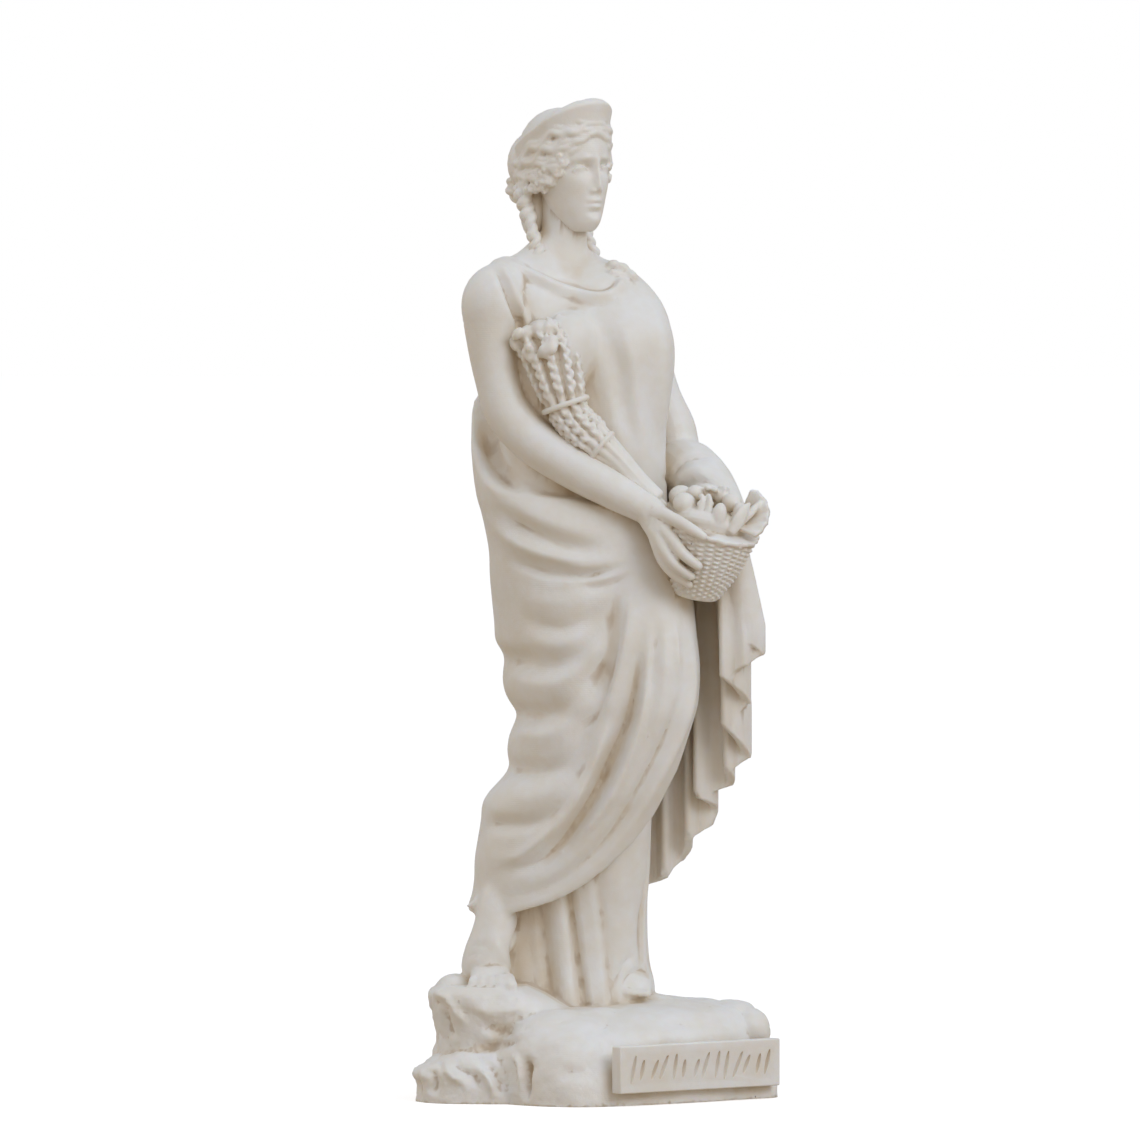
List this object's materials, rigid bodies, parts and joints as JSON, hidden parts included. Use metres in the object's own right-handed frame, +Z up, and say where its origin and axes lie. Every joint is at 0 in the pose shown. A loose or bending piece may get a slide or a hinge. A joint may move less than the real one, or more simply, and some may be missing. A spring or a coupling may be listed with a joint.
{
  "type": "goddess statuette",
  "caption": "Standing draped harvest goddess with a sheaf of wheat and a basket of fruit, cast in one with her rock base and name plate.",
  "frame": {"origin": "on the flat underside, below the middle of the statuette's footprint", "axes": "+Z up; -Y the way the name plate and the figure face; +X to her left"},
  "size_m": [0.0862, 0.078, 0.2495],
  "materials": {
    "alabaster": "satin"
  },
  "bodies": {
    "root": {"statue": "alabaster"}
  },
  "joints": []
}
